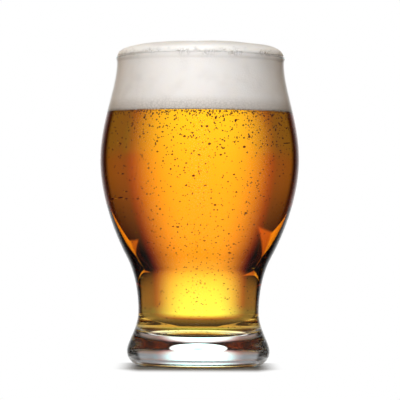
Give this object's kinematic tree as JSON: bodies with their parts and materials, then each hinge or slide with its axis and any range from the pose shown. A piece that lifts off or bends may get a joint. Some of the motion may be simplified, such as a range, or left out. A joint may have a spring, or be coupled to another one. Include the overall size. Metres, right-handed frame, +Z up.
{
  "type": "tulip beer glass",
  "caption": "Stemless tulip beer glass with a round belly, drawn-in waist and heavy solid foot, filled with amber beer under a crown of white foam.",
  "frame": {"origin": "middle of the ring that the foot stands on, at the level of the table", "axes": "+Z up along the axis of the glass, from the foot to the lip; the part is round about +Z, and -Y is the side that faced the camera"},
  "size_m": [0.0902, 0.0902, 0.1463],
  "materials": {
    "glass": "clear, polished soda-lime glass",
    "beer": "clear amber liquid with fine bubbles",
    "foam": "matt cream-white foam of fine bubbles"
  },
  "bodies": {
    "root": {"glass": "glass", "beer": "beer", "foam_head": "foam"}
  },
  "joints": []
}
